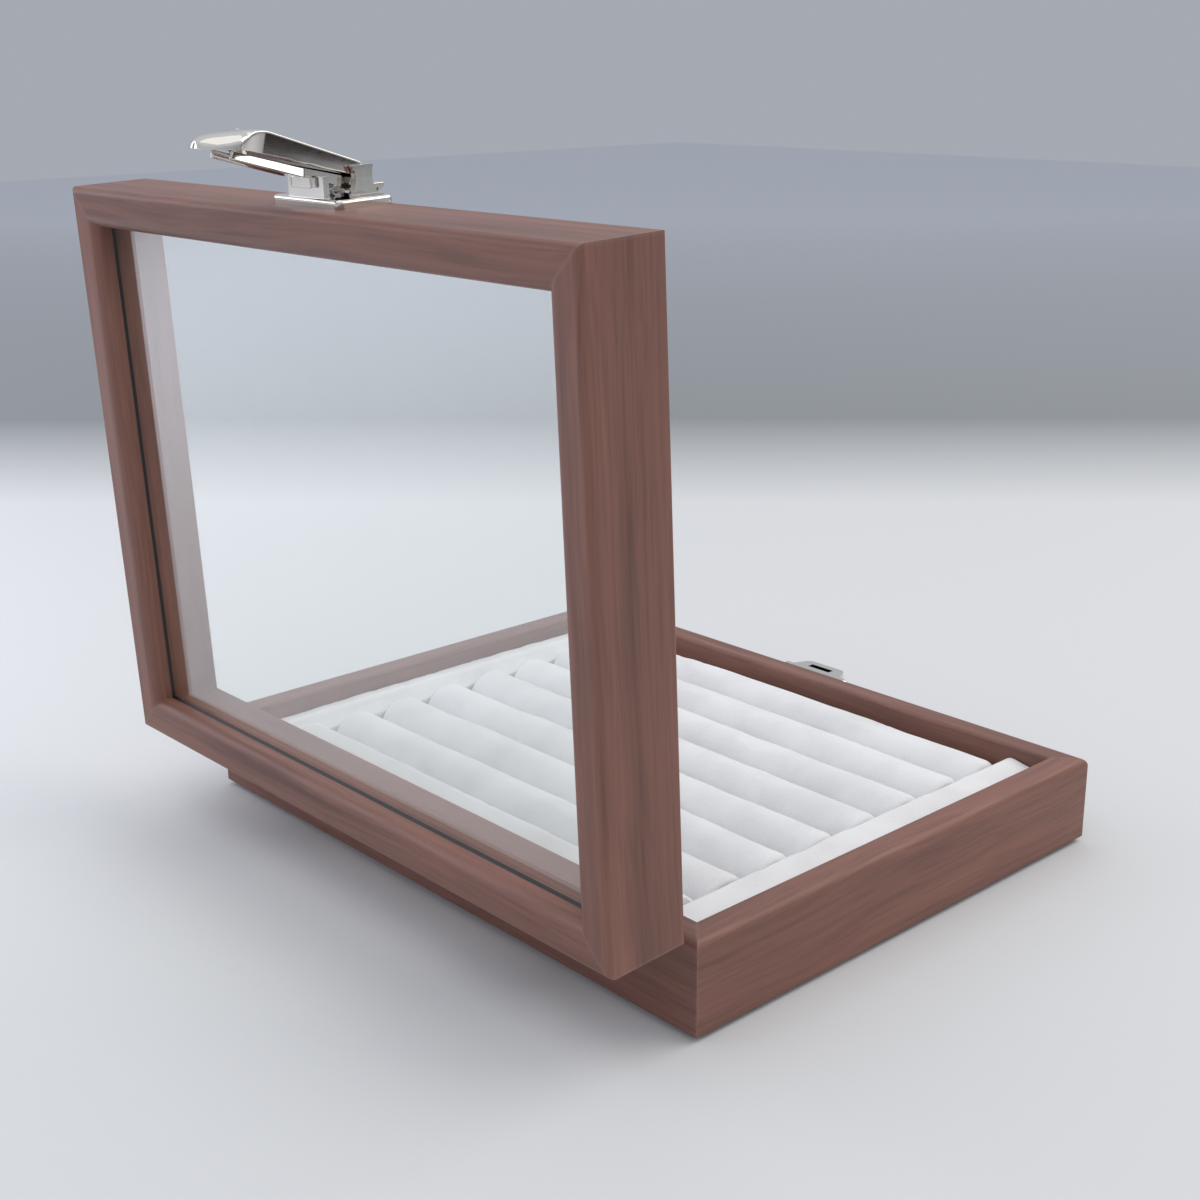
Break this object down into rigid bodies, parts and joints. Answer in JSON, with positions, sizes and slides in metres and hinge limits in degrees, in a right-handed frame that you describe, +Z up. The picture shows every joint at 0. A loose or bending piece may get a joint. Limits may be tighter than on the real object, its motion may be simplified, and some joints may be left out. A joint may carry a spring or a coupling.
{
  "type": "ring display box",
  "caption": "Shallow wood-grain display box with a velvet tray of ring rolls, a hinged glass lid on stop hinges and a sprung press-lever clasp.",
  "frame": {"origin": "centre of the underside, on the surface that the box stands on", "axes": "+X along the hinge line to the right seen from the clasp side, -Y towards the clasp, +Z up"},
  "size_m": [0.2, 0.2133, 0.1971],
  "materials": {
    "walnut_foil": "satin walnut-grain foil over fibreboard",
    "black_board": "matt black paper-faced board",
    "black_felt": "black felt",
    "white_velvet": "short-pile white velvet",
    "clear_glass": "polished clear float glass",
    "nickel_plate": "polished nickel plate",
    "spring_steel": "bright spring steel",
    "screw_steel": "nickel-plated steel"
  },
  "bodies": {
    "base": {"base_front_rail": "walnut_foil", "base_back_rail": "walnut_foil", "base_left_rail": "walnut_foil", "base_right_rail": "walnut_foil", "bottom_board": "black_board", "bottom_felt": "black_felt", "tray_board": "white_velvet", "ring_roll_1": "white_velvet", "ring_roll_2": "white_velvet", "ring_roll_3": "white_velvet", "ring_roll_4": "white_velvet", "ring_roll_5": "white_velvet", "ring_roll_6": "white_velvet", "ring_roll_7": "white_velvet", "tray_left_border": "white_velvet", "tray_right_border": "white_velvet", "tray_back_border": "white_velvet", "hinge_left_lower_leaf": "nickel_plate", "hinge_left_pin": "nickel_plate", "hinge_right_lower_leaf": "nickel_plate", "hinge_right_pin": "nickel_plate", "hinge_lower_screws": "screw_steel", "catch_plate": "nickel_plate", "catch_screws": "screw_steel"},
    "lid": {"lid_front_rail": "walnut_foil", "lid_back_rail": "walnut_foil", "lid_left_rail": "walnut_foil", "lid_right_rail": "walnut_foil", "glass_pane": "clear_glass", "hinge_left_upper_leaf": "nickel_plate", "hinge_right_upper_leaf": "nickel_plate", "hinge_upper_screws": "screw_steel", "clasp_plate": "nickel_plate", "clasp_plate_screws": "screw_steel", "clasp_pin": "nickel_plate", "clasp_spring": "spring_steel"},
    "lever": {"clasp_lever": "nickel_plate", "clasp_claw": "nickel_plate", "clasp_rivet": "nickel_plate"}
  },
  "joints": [
    {"name": "lid_hinge", "type": "hinge", "parent": "base", "child": "lid", "pos_m": [0, 0.07935, 0.0243], "axis": [1, 0, 0], "range_deg": [0, 92.5]},
    {"name": "clasp_press", "type": "hinge", "parent": "lid", "child": "lever", "pos_m": [0, 0.09103, 0.18635], "axis": [-1, 0, 0], "range_deg": [0, 8], "stiffness_Nm_per_rad": 0.35, "springref_deg": -20.05, "deforming": ["clasp_spring"]}
  ]
}
